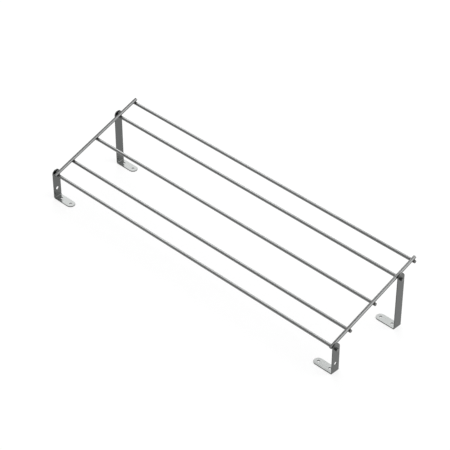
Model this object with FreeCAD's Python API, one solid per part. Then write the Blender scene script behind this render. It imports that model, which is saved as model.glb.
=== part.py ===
import FreeCAD
import Part
import math
import os

# A sloping wire shoe rack. Five long round rods lie under two round side rails and are welded
# to them. Two of the rods, the front one and the second from the rear, carry the rack: their
# ends pass through four brackets folded from flat strip, which turn on them and screw down.
# X runs along the rods, the low side faces -Y, and Z is up from the surface under the feet.

# Round stock
ROD_DIAMETER = 6.0
RAIL_DIAMETER = 6.0
END_CHAMFER = 0.4

# Layout of the wire deck
RAIL_SPACING = 678.0
PLAIN_ROD_OVERHANG = 4.5
EDGE_ROD_PITCH = 40.0
INNER_ROD_PITCH = 63.5
RAIL_OVERHANG = 6.0
WELD_SET_DOWN = 0.6
WELD_FILLET = 0.9

# Height of the two carrier rods' axes above the feet, which also sets the slope
FRONT_CARRIER_HEIGHT = 51.0
REAR_CARRIER_HEIGHT = 106.0

# Folded strip brackets
STRIP_WIDTH = 17.0
STRIP_THICKNESS = 2.0
BEND_INNER_RADIUS = 1.0
FOOT_LENGTH = 45.5
TOP_ABOVE_CARRIER = 11.0
RAIL_TO_BRACKET_GAP = 2.0
CARRIER_END_PROUD = 4.0
PIVOT_RADIAL_CLEARANCE = 0.08

# Holes in the brackets
FOOT_HOLE_DIAMETER = 4.5
FOOT_HOLE_PITCH = 25.0
SIDE_HOLE_DIAMETER = 6.5
SIDE_HOLE_HEIGHT = 20.0

# Sizes that follow from those above
ROD_RADIUS = ROD_DIAMETER / 2
RAIL_RADIUS = RAIL_DIAMETER / 2
RAIL_X = RAIL_SPACING / 2
RAIL_LIFT = ROD_RADIUS + RAIL_RADIUS - WELD_SET_DOWN
PLATE_INNER_X = RAIL_X + RAIL_RADIUS + RAIL_TO_BRACKET_GAP
PLATE_OUTER_X = PLATE_INNER_X + STRIP_THICKNESS
BEND_OUTER_RADIUS = BEND_INNER_RADIUS + STRIP_THICKNESS
PLAIN_ROD_LENGTH = 2 * (RAIL_X + PLAIN_ROD_OVERHANG)
CARRIER_ROD_LENGTH = 2 * (PLATE_OUTER_X + CARRIER_END_PROUD)
CARRIER_DISTANCE = EDGE_ROD_PITCH + 2 * INNER_ROD_PITCH
DECK_LENGTH = CARRIER_DISTANCE + EDGE_ROD_PITCH
SLOPE = math.asin((REAR_CARRIER_HEIGHT - FRONT_CARRIER_HEIGHT) / CARRIER_DISTANCE)
FRONT_CARRIER_Y = -CARRIER_DISTANCE * math.cos(SLOPE) / 2

ALONG_X = FreeCAD.Vector(1, 0, 0)
ALONG_Y = FreeCAD.Vector(0, 1, 0)
ALONG_Z = FreeCAD.Vector(0, 0, 1)
UP_SLOPE = FreeCAD.Vector(0, math.cos(SLOPE), math.sin(SLOPE))
OFF_SLOPE = FreeCAD.Vector(0, -math.sin(SLOPE), math.cos(SLOPE))

REAR_CARRIER = "rod_2_rear_carrier"
FRONT_CARRIER = "rod_5_front_carrier"

# Rods by name: distance up the slope from the front carrier rod, and length
RODS = {
    "rod_1_rear_edge": (DECK_LENGTH, PLAIN_ROD_LENGTH),
    REAR_CARRIER: (CARRIER_DISTANCE, CARRIER_ROD_LENGTH),
    "rod_3_middle": (EDGE_ROD_PITCH + INNER_ROD_PITCH, PLAIN_ROD_LENGTH),
    "rod_4_front_inner": (EDGE_ROD_PITCH, PLAIN_ROD_LENGTH),
    FRONT_CARRIER: (0.0, CARRIER_ROD_LENGTH),
}
SIDES = {"left": -1, "right": 1}


def on_slope(distance):
    """Point of the rods' plane at X = 0, this far up the slope from the front carrier rod."""
    front = FreeCAD.Vector(0, FRONT_CARRIER_Y, FRONT_CARRIER_HEIGHT)
    return front + UP_SLOPE * distance


def centred_cylinder(radius, length, middle, direction):
    """Cylinder whose middle is at a point."""
    return Part.makeCylinder(radius, length, middle - direction * (length / 2), direction)


def round_bar(radius, length, middle, direction):
    """Round bar with chamfered ends."""
    bar = centred_cylinder(radius, length, middle, direction)
    rims = [edge for edge in bar.Edges if edge.Curve.TypeId == "Part::GeomCircle"]
    return bar.makeChamfer(END_CHAMFER, rims)


def rod(name):
    """One of the long rods."""
    distance, length = RODS[name]
    return round_bar(ROD_RADIUS, length, on_slope(distance), ALONG_X)


def rail_point(distance, side):
    """Point on a side rail's axis, this far up the slope from the front carrier rod."""
    return on_slope(distance) + OFF_SLOPE * RAIL_LIFT + ALONG_X * (side * RAIL_X)


def side_rail(side):
    """Side rail with a shallow seat where each rod is pressed into it by its weld."""
    length = DECK_LENGTH + 2 * RAIL_OVERHANG
    rail = round_bar(RAIL_RADIUS, length, rail_point(DECK_LENGTH / 2, side), UP_SLOPE)
    for name in RODS:
        rail = rail.cut(rod(name))
    return rail


def weld(name, side):
    """Weld metal in the crook between a rod and a rail, all round where they cross."""
    distance = RODS[name][0]
    on_rod = on_slope(distance) + ALONG_X * (side * RAIL_X)
    on_rail = rail_point(distance, side)
    reach = ROD_DIAMETER + RAIL_DIAMETER
    metal = centred_cylinder(ROD_RADIUS + WELD_FILLET, reach, on_rod, ALONG_X)
    metal = metal.common(centred_cylinder(RAIL_RADIUS + WELD_FILLET, reach, on_rail, UP_SLOPE))
    metal = metal.cut(centred_cylinder(ROD_RADIUS, reach, on_rod, ALONG_X))
    return metal.cut(centred_cylinder(RAIL_RADIUS, reach, on_rail, UP_SLOPE))


def round_ended_strip(start, end, thickness):
    """Flat strip, its width along Y, with a square start and a half-round end."""
    along = (end - start).normalize()
    half = ALONG_Y * (STRIP_WIDTH / 2)
    arc_middle = end - along * (STRIP_WIDTH / 2)
    corners = [arc_middle - half, start - half, start + half, arc_middle + half]
    edges = [Part.makeLine(first, second) for first, second in zip(corners, corners[1:])]
    edges.append(Part.Arc(corners[-1], end, corners[0]).toShape())
    return Part.Face(Part.Wire(edges)).extrude(thickness)


def upright(carrier):
    """Standing plate of a right-hand bracket, from the bend to its rounded top."""
    start = FreeCAD.Vector(PLATE_INNER_X, carrier.y, BEND_OUTER_RADIUS)
    end = FreeCAD.Vector(PLATE_INNER_X, carrier.y, carrier.z + TOP_ABOVE_CARRIER)
    return round_ended_strip(start, end, ALONG_X * STRIP_THICKNESS)


def foot(carrier):
    """Foot of a right-hand bracket, from the bend to its rounded tip."""
    start = FreeCAD.Vector(PLATE_OUTER_X - BEND_OUTER_RADIUS, carrier.y, 0)
    end = FreeCAD.Vector(PLATE_OUTER_X - FOOT_LENGTH, carrier.y, 0)
    return round_ended_strip(start, end, ALONG_Z * STRIP_THICKNESS)


def bend(carrier):
    """Quarter-round fold between the upright and the foot of a right-hand bracket."""
    front = carrier.y - STRIP_WIDTH / 2
    centre_x = PLATE_OUTER_X - BEND_OUTER_RADIUS
    corner = FreeCAD.Vector(centre_x, front, 0)
    block = Part.makeBox(BEND_OUTER_RADIUS, STRIP_WIDTH, BEND_OUTER_RADIUS, corner)
    centre = FreeCAD.Vector(centre_x, front, BEND_OUTER_RADIUS)
    outside = Part.makeCylinder(BEND_OUTER_RADIUS, STRIP_WIDTH, centre, ALONG_Y)
    inside = Part.makeCylinder(BEND_INNER_RADIUS, STRIP_WIDTH, centre, ALONG_Y)
    return block.common(outside).cut(inside)


def upright_hole(diameter, y, z):
    """Cutter for a round hole through a right-hand upright."""
    middle = FreeCAD.Vector(PLATE_OUTER_X, y, z)
    return centred_cylinder(diameter / 2, 3 * STRIP_THICKNESS, middle, ALONG_X)


def foot_hole(x, y):
    """Cutter for a screw hole through a right-hand foot."""
    middle = FreeCAD.Vector(x, y, STRIP_THICKNESS)
    return centred_cylinder(FOOT_HOLE_DIAMETER / 2, 3 * STRIP_THICKNESS, middle, ALONG_Z)


def bracket(rod_name, side, has_side_hole):
    """Bracket with its pivot hole on a carrier rod and two screw holes in its foot."""
    carrier = on_slope(RODS[rod_name][0])
    body = upright(carrier).fuse([bend(carrier), foot(carrier)]).removeSplitter()
    tip_hole_x = PLATE_OUTER_X - FOOT_LENGTH + STRIP_WIDTH / 2
    cutters = [
        upright_hole(ROD_DIAMETER + 2 * PIVOT_RADIAL_CLEARANCE, carrier.y, carrier.z),
        foot_hole(tip_hole_x, carrier.y),
        foot_hole(tip_hole_x + FOOT_HOLE_PITCH, carrier.y),
    ]
    if has_side_hole:
        cutters.append(upright_hole(SIDE_HOLE_DIAMETER, carrier.y, SIDE_HOLE_HEIGHT))
    for cutter in cutters:
        body = body.cut(cutter)
    if side < 0:
        body = body.mirror(FreeCAD.Vector(0, 0, 0), ALONG_X)
    return body


def pieces():
    """Every piece of the rack by its node name."""
    made = {name: rod(name) for name in RODS}
    for label, side in SIDES.items():
        made["rail_" + label] = side_rail(side)
        for place, name in enumerate(RODS, start=1):
            made["weld_" + label + "_" + str(place)] = weld(name, side)
        made["bracket_rear_" + label] = bracket(REAR_CARRIER, side, False)
        made["bracket_front_" + label] = bracket(FRONT_CARRIER, side, True)
    return made


os.makedirs("parts", exist_ok=True)
for node, shape in pieces().items():
    shape.exportStep("parts/" + node + ".step")
    print(node, len(shape.Solids), "solid", round(shape.Volume, 2), "mm3", shape.isValid())
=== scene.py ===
import math

import bmesh
import bpy
from bpy.props import FloatProperty, FloatVectorProperty, IntProperty, PointerProperty
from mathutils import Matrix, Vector


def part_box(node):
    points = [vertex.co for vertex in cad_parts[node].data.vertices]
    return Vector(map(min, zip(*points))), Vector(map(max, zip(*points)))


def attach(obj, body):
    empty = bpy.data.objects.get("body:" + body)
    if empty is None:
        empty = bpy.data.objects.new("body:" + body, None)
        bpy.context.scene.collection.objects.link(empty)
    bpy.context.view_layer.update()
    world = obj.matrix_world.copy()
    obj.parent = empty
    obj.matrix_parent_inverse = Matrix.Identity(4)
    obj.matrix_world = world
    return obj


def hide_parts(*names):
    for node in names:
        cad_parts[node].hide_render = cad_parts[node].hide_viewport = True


bl_info = {
    "name": "Sloping wire shoe rack",
    "version": (1, 0, 0),
    "blender": (4, 5, 0),
    "location": "View3D > Sidebar > Shoe Rack",
    "description": "Dresses the shoe rack with plated wire, folded strip and weld metal",
    "category": "Object",
}

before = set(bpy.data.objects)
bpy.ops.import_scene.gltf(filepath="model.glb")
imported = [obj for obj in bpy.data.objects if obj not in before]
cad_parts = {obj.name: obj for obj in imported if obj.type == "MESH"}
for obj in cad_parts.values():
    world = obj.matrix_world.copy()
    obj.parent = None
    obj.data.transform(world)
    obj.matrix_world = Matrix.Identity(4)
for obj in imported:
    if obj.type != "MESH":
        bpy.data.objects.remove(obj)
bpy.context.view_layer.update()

# Frame nodes that each piece of the rack stands for
ROD_NODES = {
    "rear_edge_rod": "rod_1_rear_edge",
    "rear_carrier_rod": "rod_2_rear_carrier",
    "middle_rod": "rod_3_middle",
    "front_inner_rod": "rod_4_front_inner",
    "front_carrier_rod": "rod_5_front_carrier",
}
REAR_CARRIER = ROD_NODES["rear_carrier_rod"]
FRONT_CARRIER = ROD_NODES["front_carrier_rod"]
RAIL_NODES = {"left_side_rail": "rail_left", "right_side_rail": "rail_right"}
BRACKET_NODES = {
    "left_rear_bracket": ("bracket_rear_left", REAR_CARRIER),
    "right_rear_bracket": ("bracket_rear_right", REAR_CARRIER),
    "left_front_bracket": ("bracket_front_left", FRONT_CARRIER),
    "right_front_bracket": ("bracket_front_right", FRONT_CARRIER),
}
RACK_BODY = "rack"
SIDES = ("left", "right")

QUARTER_TURN = math.radians(90)
NO_TURN = (0, 0, 0)

# Edges sharper than this angle are rounded, in this many steps
SHARP_ANGLE = math.radians(50)
EDGE_STEPS = 3

# Reach of the haze beside a weld and of the wear at a wire end, in metres
HAZE_REACH = 0.012
END_WEAR_REACH = 0.004

# Flat strip: band of even faces along its borders, margin beside its holes and fold, in metres
BAND_WIDTH = 0.0008
HOLE_MARGIN = 0.0015
CUT_TOLERANCE = 1e-7

# Places of a bracket's two materials
STRIP_FACE = 0
CUT_EDGE = 1

# Length of a draw mark along the wire and its width both ways across, in metres
WIRE_MARK = (0.11, 0.0011, 0.0011)

# Marks to the metre along the strip's own map and across it
STRIP_MARKS = (22.0, 2600.0, 1.0)
SCRATCH_MARKS = (30.0, 1500.0, 1.0)
SHEAR_MARKS = (2600.0, 180.0, 1.0)

# Turn that gives the scratches a part of the noise that is not the rolling marks' own
SCRATCH_TURN = (0, 0, 0.5)

# Cloudy patches and weld grains to the metre
WIRE_PATCHES = 28.0
STRIP_PATCHES = 60.0
WELD_PATCHES = 260.0
WELD_GRAINS = 1400.0

# Spans of noise over which a mark comes in
MIDDLE_NOISE = (0.3, 0.7)
STREAK_NOISE = (0.35, 0.75)
SCRATCH_NOISE = (0.66, 0.72)
TINT_NOISE = (0.4, 0.7)

# Share of its colour that each mark gives, and the roughness that it adds
HAZE_COLOUR = 0.8
HAZE_ROUGHNESS = 0.12
WEAR_COLOUR = 0.6
WEAR_ROUGHNESS = 0.10
SCRATCH_COLOUR = 0.12
SCRATCH_ROUGHNESS = 0.08
WELD_TINT = 0.7

# Swing of the roughness over fine marks and over cloudy patches
WIRE_MARK_SWING = (-0.05, 0.07)
WIRE_PATCH_SWING = (-0.03, 0.04)
STRIP_MARK_SWING = (-0.05, 0.06)
STRIP_PATCH_SWING = (-0.02, 0.03)

# Whole span of the roughness
SHEAR_ROUGHNESS = (0.26, 0.44)
WELD_ROUGHNESS = (0.30, 0.52)
FLOOR_ROUGHNESS = 0.9

# Round soft boxes: direction from the rack, half angle in degrees and brightness
SOFT_BOXES = {
    "back_left_soft_box": ((-0.58, 0.50, 0.65), 19.5, 4.3),
    "front_left_soft_box": ((-0.56, -0.20, 0.80), 14, 1.4),
    "overhead_soft_box": ((0.08, 0.30, 0.95), 18, 1.4),
    "right_soft_box": ((0.84, 0.21, 0.50), 21.5, 2.3),
    "back_right_soft_box": ((0.56, 0.57, 0.61), 11.5, 5.6),
}

# Direction in which the studio is open and its walls are brightest
OPEN_SIDE = (0.62, -0.50, 0.60)

# Cosines of the angle from the open side at which the walls are dim and fully bright
OPEN_SPAN = (0.25, 0.7)

# Heights between which the pale horizon passes into the walls, as shares of straight up
HORIZON_SPAN = (0.08, 0.30)

# How far the camera sees, in metres
VIEW_REACH = 200.0


def middle_of(node):
    """Middle of a frame node's box."""
    low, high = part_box(node)
    return (low + high) / 2


def on_axis(node):
    """Point on a rod's axis in the middle plane of the rack."""
    centre = middle_of(node)
    return Vector((0, centre.y, centre.z))


DECK_START = on_axis(FRONT_CARRIER)
DECK_END = on_axis(ROD_NODES["rear_edge_rod"])
UP_SLOPE = (DECK_END - DECK_START).normalized()
OFF_SLOPE = Vector((0, -UP_SLOPE.z, UP_SLOPE.y))
SLOPE = math.atan2(UP_SLOPE.z, UP_SLOPE.y)


def length_prop(name, about, default):
    """A size that the user can change, in metres."""
    return FloatProperty(name=name, description=about, default=default, unit="LENGTH", precision=5)


def angle_prop(name, about, degrees):
    """An angle that the user can change."""
    return FloatProperty(
        name=name, description=about, default=math.radians(degrees), unit="ROTATION"
    )


def colour_prop(name, about, default):
    """A colour that the user can change."""
    return FloatVectorProperty(
        name=name, description=about, default=default, subtype="COLOR", size=3, min=0, max=1
    )


def share_prop(name, about, default):
    """A plain share from none to all."""
    return FloatProperty(
        name=name, description=about, default=default, subtype="FACTOR", min=0, max=1
    )


def level_prop(name, about, default):
    """A level of light, where 1 is plain white."""
    return FloatProperty(
        name=name, description=about, default=default, subtype="FACTOR", min=0, soft_max=2
    )


def count_prop(name, about, default):
    """A number of faces, steps or swells."""
    return IntProperty(name=name, description=about, default=default, subtype="UNSIGNED", min=3)


class WireSettings(bpy.types.PropertyGroup):
    """Sizes of the rods and side rails"""

    radius: length_prop("Wire radius", "Radius of the rods and rails", 0.003)
    end_rounding: length_prop("End rounding", "Width of the broken edge at each wire end", 0.0005)
    rail_lift: length_prop("Rail lift", "Height of a rail's axis over the rods' axes", 0.0054)
    rail_overhang: length_prop("Rail overhang", "Rail length past the outer rods", 0.006)
    loop_spacing: length_prop("Loop spacing", "Distance between rings along a wire", 0.0025)
    sides: count_prop("Sides", "Faces round a wire", 40)


class WeldSettings(bpy.types.PropertyGroup):
    """Sizes of the weld beads"""

    path_radius: length_prop("Path radius", "Radius of the bead's path round a crossing", 0.0026)
    path_steps: count_prop("Path steps", "Steps along the bead's path", 104)
    bead_radius: length_prop("Bead radius", "Radius of the bead itself", 0.00085)
    sides: count_prop("Sides", "Faces round a bead", 14)
    ripple_depth: share_prop("Ripple depth", "How far the bead swells and shrinks", 0.09)
    ripple_count: count_prop("Ripples", "Swells round one bead", 13)


class BracketSettings(bpy.types.PropertyGroup):
    """Sizes of the folded strip brackets"""

    thickness: length_prop("Thickness", "Thickness of the strip", 0.002)
    bend_radius: length_prop("Bend radius", "Inner radius of the fold", 0.001)
    edge_rounding: length_prop("Edge rounding", "Width of the rounded strip edge", 0.0003)
    pivot_radius: length_prop("Pivot hole radius", "Hole that turns on a carrier rod", 0.00308)
    foot_hole_radius: length_prop("Foot hole radius", "Screw holes in the foot", 0.00225)
    foot_hole_pitch: length_prop("Foot hole pitch", "Distance between the screw holes", 0.025)
    side_hole_radius: length_prop("Side hole radius", "Hole in the short uprights", 0.00325)
    side_hole_height: length_prop("Side hole height", "Its height over the feet", 0.02)
    fold_steps: count_prop("Fold steps", "Faces round the fold", 10)
    round_steps: count_prop("Round steps", "Edges in a half round", 32)


class FinishSettings(bpy.types.PropertyGroup):
    """Colours and gloss of the metal"""

    wire_colour: colour_prop("Wire", "Bright plating on the wire", (0.190, 0.193, 0.192))
    wire_shade: colour_prop("Wire streaks", "Darker draw marks", (0.166, 0.169, 0.168))
    strip_colour: colour_prop("Strip", "Plating on the strip", (0.135, 0.139, 0.137))
    strip_shade: colour_prop("Strip streaks", "Darker rolling marks", (0.121, 0.125, 0.123))
    edge_colour: colour_prop("Cut edge", "Sheared edges and hole walls", (0.095, 0.096, 0.095))
    weld_colour: colour_prop("Weld", "Plated weld metal", (0.046, 0.045, 0.044))
    tint_colour: colour_prop("Heat tint", "Dark straw tint at a weld", (0.062, 0.055, 0.046))
    wire_roughness: share_prop("Wire roughness", "Middle roughness of the wire", 0.20)
    strip_roughness: share_prop("Strip roughness", "Middle roughness of the strip", 0.18)


class StageSettings(bpy.types.PropertyGroup):
    """Floor, light and camera"""

    floor_size: length_prop("Floor size", "Side of the square floor", 60.0)
    floor_drop: length_prop("Floor drop", "Gap between feet and floor", 0.0002)
    floor_colour: colour_prop("Floor", "Pale floor", (0.80, 0.80, 0.80))
    floor_white: share_prop("Floor white", "Share of plain white in the seen floor", 0.75)
    horizon_level: level_prop("Horizon", "Light near the horizon", 0.9)
    sky_level: level_prop("Dim side", "Light from the dim walls", 0.43)
    open_level: level_prop("Open side", "Light from the open side", 0.88)
    light_level: level_prop("Soft boxes", "Share of their light", 1.0)
    light_distance: length_prop("Soft box distance", "From the object to a soft box", 4.0)
    camera_place: FloatVectorProperty(
        name="Camera place", description="Where the camera stands", subtype="TRANSLATION",
        default=(1.669934, -1.676164, 1.885234),
    )
    camera_turn: angle_prop("Camera turn", "Turn about the vertical", 44.640)
    camera_tilt: angle_prop("Camera tilt", "Tilt below the horizon", 37.415)
    lens: FloatProperty(
        name="Lens", description="Focal length in millimetres", default=136.224, unit="CAMERA"
    )


def put(tree, kind, settings=None, **inputs):
    """Adds a node. An input is a value or the output of another node, and _ stands for a space."""
    made = tree.nodes.new(kind)
    for key, value in (settings or {}).items():
        setattr(made, key, value)
    for key, value in inputs.items():
        connect(tree, made.inputs[key.replace("_", " ")], value)
    return made


def connect(tree, socket, value):
    """Gives a socket a value, or links it to another node's output."""
    if isinstance(value, bpy.types.Node):
        value = next(output for output in value.outputs if output.enabled)
    if isinstance(value, bpy.types.NodeSocket):
        tree.links.new(value, socket)
    else:
        socket.default_value = value


def maths(tree, operation, first, second=None):
    """Result of a Math node on one or two values."""
    made = put(tree, "ShaderNodeMath", {"operation": operation})
    connect(tree, made.inputs[0], first)
    if second is not None:
        connect(tree, made.inputs[1], second)
    return made.outputs[0]


def plus_share(tree, value, share, amount):
    """A value plus a share of an amount."""
    return maths(tree, "ADD", value, maths(tree, "MULTIPLY", share, amount))


def spread(tree, value, span, results, smooth=False):
    """Map Range node, from a span of values to the results at its two ends."""
    kind = "SMOOTHSTEP" if smooth else "LINEAR"
    made = put(tree, "ShaderNodeMapRange", {"interpolation_type": kind}, Value=value,
               From_Min=span[0], From_Max=span[1], To_Min=results[0], To_Max=results[1])
    return made.outputs["Result"]


def blend_colours(tree, share, first, second):
    """Mix of two colours, each a plain colour or the output of another node."""
    made = put(tree, "ShaderNodeMix", {"data_type": "RGBA"})
    for name, value in (("Factor_Float", share), ("A_Color", first), ("B_Color", second)):
        socket = next(s for s in made.inputs if s.identifier == name)
        connect(tree, socket, value)
    return next(s for s in made.outputs if s.identifier == "Result_Color")


def solid_colour(colour):
    """Colour property as red, green, blue and alpha."""
    return (*colour, 1.0)


def new_finish(name):
    """Metal material, its node tree and its shader."""
    material = bpy.data.materials.new(name)
    material.use_nodes = True
    shader = material.node_tree.nodes["Principled BSDF"]
    shader.inputs["Metallic"].default_value = 1.0
    return material, material.node_tree, shader


def noise(tree, place, scale, detail, roughness=0.5):
    """Noise texture as a value from 0 to 1."""
    made = put(tree, "ShaderNodeTexNoise", Vector=place, Scale=scale, Detail=detail)
    made.inputs["Roughness"].default_value = roughness
    return made.outputs["Fac"]


def fine_lines(tree, place, kind, turn, scale, detail, roughness=0.6):
    """Noise drawn out to lines by a Mapping node of this kind, turn and scale."""
    drawn = put(tree, "ShaderNodeMapping", {"vector_type": kind},
                Vector=place, Rotation=turn, Scale=scale)
    return noise(tree, drawn.outputs["Vector"], 1.0, detail, roughness)


def attribute(tree, name):
    """Value that the mesh keeps under this name."""
    return put(tree, "ShaderNodeAttribute", {"attribute_name": name}).outputs["Fac"]


def streaks(tree, marks, colour, shade):
    """Colour of metal that turns to a shade along its marks."""
    share = spread(tree, marks, STREAK_NOISE, (0.0, 1.0))
    return blend_colours(tree, share, solid_colour(colour), solid_colour(shade))


def satin(tree, middle, marks, mark_swing, patches, patch_swing):
    """Roughness that swings about its middle over fine marks and cloudy patches."""
    fine = spread(tree, marks, MIDDLE_NOISE, [middle + swing for swing in mark_swing])
    return maths(tree, "ADD", fine, spread(tree, patches, MIDDLE_NOISE, patch_swing))


def bump(tree, shader, height, strength, depth):
    """Gives a shader a bumpy surface."""
    made = put(tree, "ShaderNodeBump", Height=height, Strength=strength, Distance=depth)
    connect(tree, shader.inputs["Normal"], made.outputs["Normal"])


def plated_wire_finish(name, turn):
    """Bright plated wire with fine draw marks along it, hazed at the welds and rubbed at the ends.

    The turn is the one that lays the X axis along the wire.
    """
    look = bpy.context.scene.shoe_rack_finish
    material, tree, shader = new_finish(name)
    place = put(tree, "ShaderNodeTexCoord").outputs["Object"]
    marks = fine_lines(tree, place, "TEXTURE", turn, WIRE_MARK, detail=4.0)
    patches = noise(tree, place, WIRE_PATCHES, detail=3.0)
    haze = attribute(tree, "weld_haze")
    rubbed = attribute(tree, "end_wear")
    streaked = streaks(tree, marks, look.wire_colour, look.wire_shade)
    tint = maths(tree, "MULTIPLY", haze, HAZE_COLOUR)
    tinted = blend_colours(tree, tint, streaked, solid_colour(look.tint_colour))
    wear = maths(tree, "MULTIPLY", rubbed, WEAR_COLOUR)
    worn = blend_colours(tree, wear, tinted, solid_colour(look.edge_colour))
    connect(tree, shader.inputs["Base Color"], worn)
    gloss = satin(tree, look.wire_roughness, marks, WIRE_MARK_SWING, patches, WIRE_PATCH_SWING)
    dulled = plus_share(tree, gloss, haze, HAZE_ROUGHNESS)
    scuffed = plus_share(tree, dulled, rubbed, WEAR_ROUGHNESS)
    connect(tree, shader.inputs["Roughness"], scuffed)
    bump(tree, shader, marks, strength=0.12, depth=0.00003)
    return material


def plated_strip_finish():
    """Satin plated strip with rolling marks and fine scratches along it and cloudy patches."""
    look = bpy.context.scene.shoe_rack_finish
    material, tree, shader = new_finish("plated_strip")
    place = put(tree, "ShaderNodeUVMap", {"uv_map": "strip"}).outputs["UV"]
    marks = fine_lines(tree, place, "POINT", NO_TURN, STRIP_MARKS, detail=4.0)
    lines = fine_lines(tree, place, "POINT", SCRATCH_TURN, SCRATCH_MARKS, detail=2.0, roughness=0.5)
    scratches = spread(tree, lines, SCRATCH_NOISE, (0.0, 1.0))
    patches = noise(tree, place, STRIP_PATCHES, detail=3.0)
    streaked = streaks(tree, marks, look.strip_colour, look.strip_shade)
    scratch = maths(tree, "MULTIPLY", scratches, SCRATCH_COLOUR)
    scratched = blend_colours(tree, scratch, streaked, solid_colour(look.wire_colour))
    connect(tree, shader.inputs["Base Color"], scratched)
    gloss = satin(tree, look.strip_roughness, marks, STRIP_MARK_SWING, patches, STRIP_PATCH_SWING)
    scuffed = plus_share(tree, gloss, scratches, SCRATCH_ROUGHNESS)
    connect(tree, shader.inputs["Roughness"], scuffed)
    bump(tree, shader, marks, strength=0.10, depth=0.00002)
    return material


def sheared_edge_finish():
    """Sheared strip edge: darker and rougher than the strip's faces, with fine lines across."""
    look = bpy.context.scene.shoe_rack_finish
    material, tree, shader = new_finish("sheared_edge")
    place = put(tree, "ShaderNodeUVMap", {"uv_map": "strip"}).outputs["UV"]
    marks = fine_lines(tree, place, "POINT", NO_TURN, SHEAR_MARKS, detail=3.0)
    shaded = blend_colours(
        tree, spread(tree, marks, MIDDLE_NOISE, (0.0, 1.0)),
        solid_colour(look.edge_colour), solid_colour(look.strip_shade),
    )
    connect(tree, shader.inputs["Base Color"], shaded)
    connect(tree, shader.inputs["Roughness"], spread(tree, marks, MIDDLE_NOISE, SHEAR_ROUGHNESS))
    bump(tree, shader, marks, strength=0.25, depth=0.00004)
    return material


def weld_finish():
    """Plated weld metal: dull, a little uneven, with patches of faint heat tint."""
    look = bpy.context.scene.shoe_rack_finish
    material, tree, shader = new_finish("weld_metal")
    place = put(tree, "ShaderNodeTexCoord").outputs["Object"]
    grains = noise(tree, place, WELD_GRAINS, detail=4.0, roughness=0.6)
    patches = noise(tree, place, WELD_PATCHES, detail=2.0)
    tinted = blend_colours(
        tree, spread(tree, patches, TINT_NOISE, (0.0, WELD_TINT)),
        solid_colour(look.weld_colour), solid_colour(look.tint_colour),
    )
    connect(tree, shader.inputs["Base Color"], tinted)
    connect(tree, shader.inputs["Roughness"], spread(tree, grains, MIDDLE_NOISE, WELD_ROUGHNESS))
    bump(tree, shader, grains, strength=0.35, depth=0.00008)
    return material


def new_tree(name, sockets):
    """Geometry node tree with named inputs. Gives the tree, its input node and its output node."""
    tree = bpy.data.node_groups.new(name, "GeometryNodeTree")
    tree.interface.new_socket("Geometry", in_out="OUTPUT", socket_type="NodeSocketGeometry")
    for label, kind in sockets:
        tree.interface.new_socket(label, in_out="INPUT", socket_type="NodeSocket" + kind)
    return tree, tree.nodes.new("NodeGroupInput"), tree.nodes.new("NodeGroupOutput")


def finish_tree(tree, shape, material, result):
    """Ends a tree: smooth faces, real geometry and its material."""
    smooth = put(tree, "GeometryNodeSetShadeSmooth", Geometry=shape)
    real = put(tree, "GeometryNodeRealizeInstances", Geometry=smooth)
    painted = put(tree, "GeometryNodeSetMaterial", Geometry=real, Material=material)
    connect(tree, result.inputs["Geometry"], painted)


def round_bar_tree():
    """Tree for a straight round bar between two points."""
    tree, given, result = new_tree("round bar", [
        ("Start", "Vector"), ("End", "Vector"), ("Radius", "Float"),
        ("Sides", "Int"), ("Loop Spacing", "Float"), ("Finish", "Material"),
    ])
    line = put(tree, "GeometryNodeCurvePrimitiveLine",
               Start=given.outputs["Start"], End=given.outputs["End"])
    rings = put(tree, "GeometryNodeResampleCurve", {"mode": "LENGTH"},
                Curve=line, Length=given.outputs["Loop Spacing"])
    section = put(tree, "GeometryNodeCurvePrimitiveCircle",
                  Resolution=given.outputs["Sides"], Radius=given.outputs["Radius"])
    bar = put(tree, "GeometryNodeCurveToMesh",
              Curve=rings, Profile_Curve=section.outputs["Curve"], Fill_Caps=True)
    finish_tree(tree, bar, given.outputs["Finish"], result)
    return tree


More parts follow.
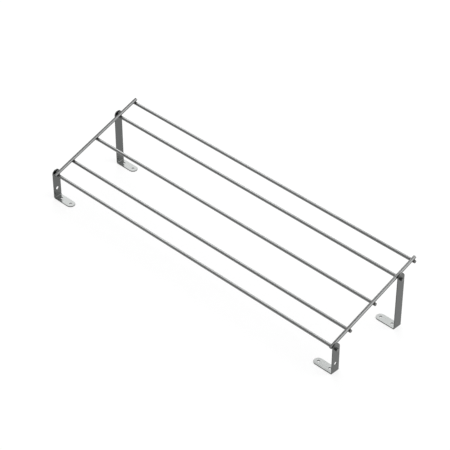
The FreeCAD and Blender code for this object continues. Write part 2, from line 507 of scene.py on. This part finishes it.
def weld_bead_tree():
    """Tree for a rippled bead that runs round the crook between a rod and the rail over it."""
    tree, given, result = new_tree("weld bead", [
        ("Crossing", "Vector"), ("Slope", "Float"), ("Wire Radius", "Float"),
        ("Rail Lift", "Float"), ("Path Radius", "Float"), ("Path Steps", "Int"),
        ("Bead Radius", "Float"), ("Sides", "Int"), ("Ripple Depth", "Float"),
        ("Ripples", "Int"), ("Phase", "Float"), ("Finish", "Material"),
    ])
    ring = put(tree, "GeometryNodeCurvePrimitiveCircle",
               Resolution=given.outputs["Path Steps"], Radius=given.outputs["Path Radius"])
    place = put(tree, "ShaderNodeSeparateXYZ",
                Vector=put(tree, "GeometryNodeInputPosition").outputs["Position"])
    square = maths(tree, "MULTIPLY", given.outputs["Wire Radius"], given.outputs["Wire Radius"])

    def side_height(offset):
        """Height of a wire's surface over its axis, this far to the side."""
        beside = maths(tree, "MULTIPLY", offset, offset)
        return maths(tree, "SQRT", maths(tree, "SUBTRACT", square, beside))

    rod_top = side_height(place.outputs["Y"])
    rail_side = side_height(place.outputs["X"])
    rail_under = maths(tree, "SUBTRACT", given.outputs["Rail Lift"], rail_side)
    half_way = maths(tree, "MULTIPLY", maths(tree, "ADD", rod_top, rail_under), 0.5)
    lifted = put(tree, "GeometryNodeSetPosition", Geometry=ring.outputs["Curve"],
                 Offset=put(tree, "ShaderNodeCombineXYZ", Z=half_way))
    tilted = put(tree, "GeometryNodeTransform", Geometry=lifted,
                 Translation=given.outputs["Crossing"],
                 Rotation=put(tree, "ShaderNodeCombineXYZ", X=given.outputs["Slope"]))
    share = put(tree, "GeometryNodeSplineParameter").outputs["Factor"]
    once_round = maths(tree, "MULTIPLY", share, 2 * math.pi)
    turns = maths(tree, "MULTIPLY", once_round, given.outputs["Ripples"])
    wave = maths(tree, "SINE", maths(tree, "ADD", turns, given.outputs["Phase"]))
    swell = plus_share(tree, 1.0, wave, given.outputs["Ripple Depth"])
    section = put(tree, "GeometryNodeCurvePrimitiveCircle",
                  Resolution=given.outputs["Sides"], Radius=given.outputs["Bead Radius"])
    bead = put(tree, "GeometryNodeCurveToMesh", Curve=tilted,
               Profile_Curve=section.outputs["Curve"], Scale=swell)
    finish_tree(tree, bead, given.outputs["Finish"], result)
    return tree


def new_piece(name, data):
    """Object at the origin, in the scene."""
    piece = bpy.data.objects.new(name, data)
    bpy.context.scene.collection.objects.link(piece)
    return piece


def break_edges(piece, width):
    """Rounds the sharp edges of a piece by this width."""
    edge = piece.modifiers.new("broken edge", "BEVEL")
    edge.width = width
    edge.segments = EDGE_STEPS
    edge.limit_method = "ANGLE"
    edge.angle_limit = SHARP_ANGLE
    edge.harden_normals = True


def settle(piece):
    """Turns a piece's modifiers into its own plain mesh."""
    bpy.context.view_layer.update()
    graph = bpy.context.evaluated_depsgraph_get()
    mesh = bpy.data.meshes.new_from_object(piece.evaluated_get(graph))
    mesh.name = piece.name
    piece.modifiers.clear()
    piece.data = mesh
    return piece


def from_tree(name, tree, values, edge_width=0.0):
    """Piece made by a geometry node tree, its inputs given by name."""
    piece = new_piece(name, bpy.data.meshes.new(name))
    shape = piece.modifiers.new("shape", "NODES")
    shape.node_group = tree
    sockets = {item.name: item.identifier for item in tree.interface.items_tree}
    for label, value in values.items():
        shape[sockets[label]] = value
    if edge_width > 0:
        break_edges(piece, edge_width)
    return settle(piece)


def place_on(piece, body, slot, *nodes):
    """Lets a piece ride on a body and stand for its frame nodes."""
    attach(piece, body)
    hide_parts(*nodes)


def rail_axis(distance, side_x):
    """Point on a side rail's axis, this far up the slope from the front carrier rod."""
    lift = bpy.context.scene.shoe_rack_wire.rail_lift
    return DECK_START + UP_SLOPE * distance + OFF_SLOPE * lift + Vector((side_x, 0, 0))


def crossings():
    """Points on the rods' axes where a side rail passes over, by frame node of the weld there."""
    found = {}
    for side in SIDES:
        side_x = middle_of("rail_" + side).x
        for place, node in enumerate(ROD_NODES.values(), start=1):
            found[f"weld_{side}_{place}"] = on_axis(node) + Vector((side_x, 0, 0))
    return found


def nearness(point, targets, reach):
    """From 0 at this reach to 1 at the nearest of the targets, steeper towards it."""
    nearest = min((point - target).length for target in targets)
    return max(0.0, 1 - nearest / reach) ** 2


def mark_wire(piece, ends):
    """Keeps on a wire's mesh how near each point is to a weld and to a cut end."""
    welds = list(crossings().values())
    haze = piece.data.attributes.new("weld_haze", "FLOAT", "POINT")
    wear = piece.data.attributes.new("end_wear", "FLOAT", "POINT")
    for vertex in piece.data.vertices:
        haze.data[vertex.index].value = nearness(vertex.co, welds, HAZE_REACH)
        wear.data[vertex.index].value = nearness(vertex.co, ends, END_WEAR_REACH)


def round_bar(name, tree, start, end, finish):
    """Straight wire between two points, with broken end edges and its wear marks."""
    wire = bpy.context.scene.shoe_rack_wire
    piece = from_tree(name, tree, {
        "Start": start, "End": end, "Radius": wire.radius, "Sides": wire.sides,
        "Loop Spacing": wire.loop_spacing, "Finish": finish,
    }, wire.end_rounding)
    mark_wire(piece, (start, end))
    return piece


class SHOERACK_OT_long_rods(bpy.types.Operator):
    """Make the long rods that carry the shoes"""

    bl_idname = "shoe_rack.long_rods"
    bl_label = "Long Rods"

    def execute(self, context):
        finish = plated_wire_finish("plated_wire_rods", NO_TURN)
        tree = round_bar_tree()
        for name, node in ROD_NODES.items():
            low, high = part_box(node)
            centre = on_axis(node)
            start = centre + Vector((low.x, 0, 0))
            end = centre + Vector((high.x, 0, 0))
            place_on(round_bar(name, tree, start, end, finish), RACK_BODY, "plated_wire", node)
        return {"FINISHED"}


class SHOERACK_OT_side_rails(bpy.types.Operator):
    """Make the sloping side rails over the rods"""

    bl_idname = "shoe_rack.side_rails"
    bl_label = "Side Rails"

    def execute(self, context):
        finish = plated_wire_finish("plated_wire_rails", (0, -SLOPE, QUARTER_TURN))
        tree = round_bar_tree()
        past = context.scene.shoe_rack_wire.rail_overhang
        deck = (DECK_END - DECK_START).length
        for name, node in RAIL_NODES.items():
            side_x = middle_of(node).x
            start = rail_axis(-past, side_x)
            end = rail_axis(deck + past, side_x)
            place_on(round_bar(name, tree, start, end, finish), RACK_BODY, "plated_wire", node)
        return {"FINISHED"}


class SHOERACK_OT_welds(bpy.types.Operator):
    """Make the weld beads between rods and rails"""

    bl_idname = "shoe_rack.welds"
    bl_label = "Welds"

    def execute(self, context):
        bead = context.scene.shoe_rack_weld
        wire = context.scene.shoe_rack_wire
        finish = weld_finish()
        tree = weld_bead_tree()
        for number, (node, crossing) in enumerate(crossings().items()):
            piece = from_tree(node.replace("weld_", "bead_"), tree, {
                "Crossing": crossing, "Slope": SLOPE, "Wire Radius": wire.radius,
                "Rail Lift": wire.rail_lift, "Path Radius": bead.path_radius,
                "Path Steps": bead.path_steps, "Bead Radius": bead.bead_radius,
                "Sides": bead.sides, "Ripple Depth": bead.ripple_depth,
                "Ripples": bead.ripple_count, "Phase": float(number), "Finish": finish,
            })
            place_on(piece, RACK_BODY, "weld_metal", node)
        return {"FINISHED"}


def arc(centre, radius, first, last, steps):
    """Points of an arc on the flat strip, from one angle in degrees to another."""
    turns = [math.radians(first + (last - first) * step / steps) for step in range(steps + 1)]
    return [(centre + radius * math.cos(turn), radius * math.sin(turn)) for turn in turns]


def next_of(items):
    """The same closed row of items, begun one later."""
    return items[1:] + items[:1]


def flat_sheet(loops, cuts):
    """Flat sheet inside the first loop and outside the others, cut across at given distances.

    A loop is a border and a line beside it, which keeps the faces along the border even.
    """
    sheet = bmesh.new()
    fill = []
    bands = []
    for loop in loops:
        border, beside = ([sheet.verts.new((*point, 0)) for point in line] for line in loop)
        fill += [sheet.edges.new(pair) for pair in zip(beside, next_of(beside))]
        bands += zip(border, next_of(border), next_of(beside), beside)
    bmesh.ops.triangle_fill(sheet, use_beauty=True, edges=fill, normal=(0, 0, 1))
    for band in bands:
        sheet.faces.new(band)
    for cut in cuts:
        every = sheet.verts[:] + sheet.edges[:] + sheet.faces[:]
        bmesh.ops.bisect_plane(
            sheet, geom=every, dist=CUT_TOLERANCE, plane_co=(cut, 0, 0), plane_no=(1, 0, 0)
        )
    sheet.normal_update()
    for face in sheet.faces:
        if face.normal.z < 0:
            face.normal_flip()
    return sheet


class FoldedStrip:
    """Strip that runs down an upright from its top, round a fold and out to a foot's tip."""

    def __init__(self, node, carrier):
        size = bpy.context.scene.shoe_rack_bracket
        low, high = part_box(node)
        self.side = 1 if high.x > 0 else -1
        self.outer_x = max(abs(low.x), abs(high.x))
        self.tip_x = min(abs(low.x), abs(high.x))
        self.top = high.z
        self.centre_y = (low.y + high.y) / 2
        self.width = high.y - low.y
        self.pivot_height = middle_of(carrier).z
        self.half_thick = size.thickness / 2
        self.outer_bend = size.bend_radius + size.thickness
        self.middle_bend = size.bend_radius + self.half_thick
        self.fold_start = self.top - self.outer_bend
        self.fold_end = self.fold_start + self.middle_bend * math.pi / 2
        self.length = self.fold_end + self.outer_x - self.outer_bend - self.tip_x

    def folded(self, along, across, depth):
        """Place of a flat strip's point once it is folded. Depth is outwards from the middle."""
        fold_x = self.outer_x - self.outer_bend
        fold_z = self.outer_bend
        reach = self.middle_bend + depth
        if along <= self.fold_start:
            x, z = fold_x + reach, self.top - along
        elif along < self.fold_end:
            turn = (along - self.fold_start) / self.middle_bend
            x, z = fold_x + reach * math.cos(turn), fold_z - reach * math.sin(turn)
        else:
            x, z = fold_x - (along - self.fold_end), fold_z - reach
        return (self.side * x, self.centre_y + across, z)

    def holes(self, has_side_hole):
        """Distance along the strip and radius of each hole."""
        size = bpy.context.scene.shoe_rack_bracket
        tip = self.length - self.width / 2
        found = [
            (self.top - self.pivot_height, size.pivot_radius),
            (tip, size.foot_hole_radius),
            (tip - size.foot_hole_pitch, size.foot_hole_radius),
        ]
        if has_side_hole:
            found.append((self.top - size.side_hole_height, size.side_hole_radius))
        return found

    def sheet(self, has_side_hole):
        """Flat strip with its holes, cut across where the fold and the holes need an edge."""
        size = bpy.context.scene.shoe_rack_bracket
        steps = size.round_steps
        half = self.width / 2
        tip = self.length - half

        def edge(inset):
            """Outline of the strip with two round ends, this far inside its border."""
            radius = half - inset
            return arc(half, radius, 90, 270, steps) + arc(tip, radius, -90, 90, steps)

        def ring(along, radius):
            """Circle this far along the strip."""
            return arc(along, radius, 0, 360, 2 * steps)[:-1]

        loops = [(edge(0), edge(BAND_WIDTH))]
        beside = [self.fold_start - HOLE_MARGIN, self.fold_end + HOLE_MARGIN]
        for along, radius in self.holes(has_side_hole):
            loops.append((ring(along, radius), ring(along, radius + BAND_WIDTH)))
            beside += [along - radius - HOLE_MARGIN, along + radius + HOLE_MARGIN]
        straight = [line for line in beside if half < line < tip]
        span = self.fold_end - self.fold_start
        folds = size.fold_steps
        fold = [self.fold_start + span * step / folds for step in range(folds + 1)]
        return flat_sheet(loops, fold + straight)


def face_outwards(mesh):
    """Turns every face of a closed mesh outwards."""
    turned = bmesh.new()
    turned.from_mesh(mesh)
    bmesh.ops.recalc_face_normals(turned, faces=turned.faces[:])
    turned.to_mesh(mesh)
    turned.free()


def strip_mesh(name, strip, sheet):
    """Mesh of the folded strip: both faces of the sheet and walls along its cut edges."""
    sheet.verts.index_update()
    flat = [(vertex.co.x, vertex.co.y) for vertex in sheet.verts]
    count = len(flat)
    places = [strip.folded(*point, strip.half_thick) for point in flat]
    places += [strip.folded(*point, -strip.half_thick) for point in flat]
    faces = []
    spots = []
    for face in sheet.faces:
        corners = [vertex.index for vertex in face.verts]
        faces.append(corners)
        spots.append([flat[corner] for corner in corners])
        faces.append([corner + count for corner in reversed(corners)])
        spots.append([flat[corner] for corner in reversed(corners)])
    walls_from = len(faces)
    for edge in sheet.edges:
        if len(edge.link_faces) != 1:
            continue
        loop = edge.link_loops[0]
        first, second = loop.vert.index, loop.link_loop_next.vert.index
        faces.append([first + count, second + count, second, first])
        run = edge.calc_length()
        along = flat[first][0] + flat[first][1]
        deep = 2 * strip.half_thick
        spots.append([(along, 0), (along + run, 0), (along + run, deep), (along, deep)])
    mesh = bpy.data.meshes.new(name)
    mesh.from_pydata(places, [], faces)
    layer = mesh.uv_layers.new(name="strip")
    for polygon, spot in zip(mesh.polygons, spots):
        polygon.material_index = STRIP_FACE if polygon.index < walls_from else CUT_EDGE
        polygon.use_smooth = True
        for loop_index, place in zip(polygon.loop_indices, spot):
            layer.data[loop_index].uv = place
    face_outwards(mesh)
    return mesh


class SHOERACK_OT_brackets(bpy.types.Operator):
    """Make the folded strip brackets that turn on the carrier rods"""

    bl_idname = "shoe_rack.brackets"
    bl_label = "Brackets"

    def execute(self, context):
        rounding = context.scene.shoe_rack_bracket.edge_rounding
        finishes = (plated_strip_finish(), sheared_edge_finish())
        for name, (node, carrier) in BRACKET_NODES.items():
            strip = FoldedStrip(node, carrier)
            sheet = strip.sheet(has_side_hole=carrier == FRONT_CARRIER)
            piece = new_piece(name, strip_mesh(name, strip, sheet))
            sheet.free()
            for finish in finishes:
                piece.data.materials.append(finish)
            break_edges(piece, rounding)
            settle(piece)
            place_on(piece, node + "_body", "plated_strip", node)
        return {"FINISHED"}


def floor_finish():
    """Pale floor that is seen, and seen in metal, as nearly white, and keeps its shadows."""
    look = bpy.context.scene.shoe_rack_stage
    material = bpy.data.materials.new("pale_floor")
    material.use_nodes = True
    tree = material.node_tree
    shader = tree.nodes["Principled BSDF"]
    shader.inputs["Base Color"].default_value = solid_colour(look.floor_colour)
    shader.inputs["Roughness"].default_value = FLOOR_ROUGHNESS
    shader.inputs["Specular IOR Level"].default_value = 0.0
    white = put(tree, "ShaderNodeEmission", Color=(1, 1, 1, 1), Strength=1.0)
    ray = put(tree, "ShaderNodeLightPath")
    plain = maths(tree, "ADD", ray.outputs["Is Camera Ray"], ray.outputs["Is Glossy Ray"])
    seen = maths(tree, "ADD", plain, ray.outputs["Is Transmission Ray"])
    share = maths(tree, "MULTIPLY", maths(tree, "MINIMUM", seen, 1.0), look.floor_white)
    mixed = put(tree, "ShaderNodeMixShader", Fac=share)
    connect(tree, mixed.inputs[1], shader.outputs["BSDF"])
    connect(tree, mixed.inputs[2], white.outputs["Emission"])
    connect(tree, tree.nodes["Material Output"].inputs["Surface"], mixed.outputs["Shader"])
    return material


def light_world():
    """Studio walls: pale near the floor, brighter on the open side than on the others."""
    look = bpy.context.scene.shoe_rack_stage
    world = bpy.data.worlds.new("studio")
    world.use_nodes = True
    tree = world.node_tree
    towards = put(tree, "ShaderNodeTexCoord").outputs["Generated"]
    height = put(tree, "ShaderNodeSeparateXYZ", Vector=towards).outputs["Z"]
    facing = put(tree, "ShaderNodeVectorMath", {"operation": "DOT_PRODUCT"})
    connect(tree, facing.inputs[0], towards)
    connect(tree, facing.inputs[1], OPEN_SIDE)
    levels = (look.sky_level, look.open_level)
    walls = spread(tree, facing.outputs["Value"], OPEN_SPAN, levels, smooth=True)
    sky = spread(tree, height, HORIZON_SPAN, (look.horizon_level, walls), smooth=True)
    background = tree.nodes["Background"]
    background.inputs["Color"].default_value = (1, 1, 1, 1)
    connect(tree, background.inputs["Strength"], sky)
    bpy.context.scene.world = world


def soft_box(name, direction, half_angle, brightness):
    """Round lamp that faces the rack. Its power is its brightness times pi times its area."""
    look = bpy.context.scene.shoe_rack_stage
    radius = look.light_distance * math.tan(math.radians(half_angle))
    area = math.pi * radius ** 2
    lamp = bpy.data.lights.new(name, "AREA")
    lamp.shape = "DISK"
    lamp.size = 2 * radius
    lamp.energy = look.light_level * brightness * math.pi * area
    box = new_piece(name, lamp)
    towards = Vector(direction).normalized()
    box.location = towards * look.light_distance
    box.rotation_euler = towards.to_track_quat("Z", "Y").to_euler()


class SHOERACK_OT_stage(bpy.types.Operator):
    """Make the floor, the light and the camera"""

    bl_idname = "shoe_rack.stage"
    bl_label = "Stage"

    def execute(self, context):
        look = context.scene.shoe_rack_stage
        half = look.floor_size / 2
        corners = [(-half, -half), (half, -half), (half, half), (-half, half)]
        mesh = bpy.data.meshes.new("floor")
        mesh.from_pydata([(x, y, -look.floor_drop) for x, y in corners], [], [[0, 1, 2, 3]])
        mesh.materials.append(floor_finish())
        new_piece("floor", mesh)
        light_world()
        for name, settings in SOFT_BOXES.items():
            soft_box(name, *settings)
        camera = bpy.data.cameras.new("photo_view")
        camera.lens = look.lens
        camera.clip_end = VIEW_REACH
        eye = new_piece("photo_view", camera)
        eye.location = look.camera_place
        eye.rotation_euler = (QUARTER_TURN - look.camera_tilt, 0, look.camera_turn)
        context.scene.camera = eye
        context.scene.view_settings.view_transform = "Standard"
        return {"FINISHED"}


class SHOERACK_PT_panel(bpy.types.Panel):
    """Lists the steps that make the shoe rack"""

    bl_idname = "SHOERACK_PT_panel"
    bl_label = "Shoe Rack"
    bl_space_type = "VIEW_3D"
    bl_region_type = "UI"
    bl_category = "Shoe Rack"

    def draw(self, context):
        for step in STEPS:
            self.layout.operator(step.bl_idname)


STEPS = (
    SHOERACK_OT_long_rods,
    SHOERACK_OT_side_rails,
    SHOERACK_OT_welds,
    SHOERACK_OT_brackets,
    SHOERACK_OT_stage,
)
SETTINGS = {
    "shoe_rack_wire": WireSettings,
    "shoe_rack_weld": WeldSettings,
    "shoe_rack_bracket": BracketSettings,
    "shoe_rack_finish": FinishSettings,
    "shoe_rack_stage": StageSettings,
}


def register():
    """Adds the settings, the steps and the panel."""
    for name, group in SETTINGS.items():
        bpy.utils.register_class(group)
        setattr(bpy.types.Scene, name, PointerProperty(type=group))
    for step in STEPS:
        bpy.utils.register_class(step)
    bpy.utils.register_class(SHOERACK_PT_panel)


def unregister():
    """Takes the panel, the steps and the settings away again."""
    bpy.utils.unregister_class(SHOERACK_PT_panel)
    for step in reversed(STEPS):
        bpy.utils.unregister_class(step)
    for name, group in SETTINGS.items():
        delattr(bpy.types.Scene, name)
        bpy.utils.unregister_class(group)


def main():
    """Makes the rack and its stage."""
    register()
    bpy.ops.shoe_rack.long_rods()
    bpy.ops.shoe_rack.side_rails()
    bpy.ops.shoe_rack.welds()
    bpy.ops.shoe_rack.brackets()
    bpy.ops.shoe_rack.stage()


if __name__ == "__main__":
    main()
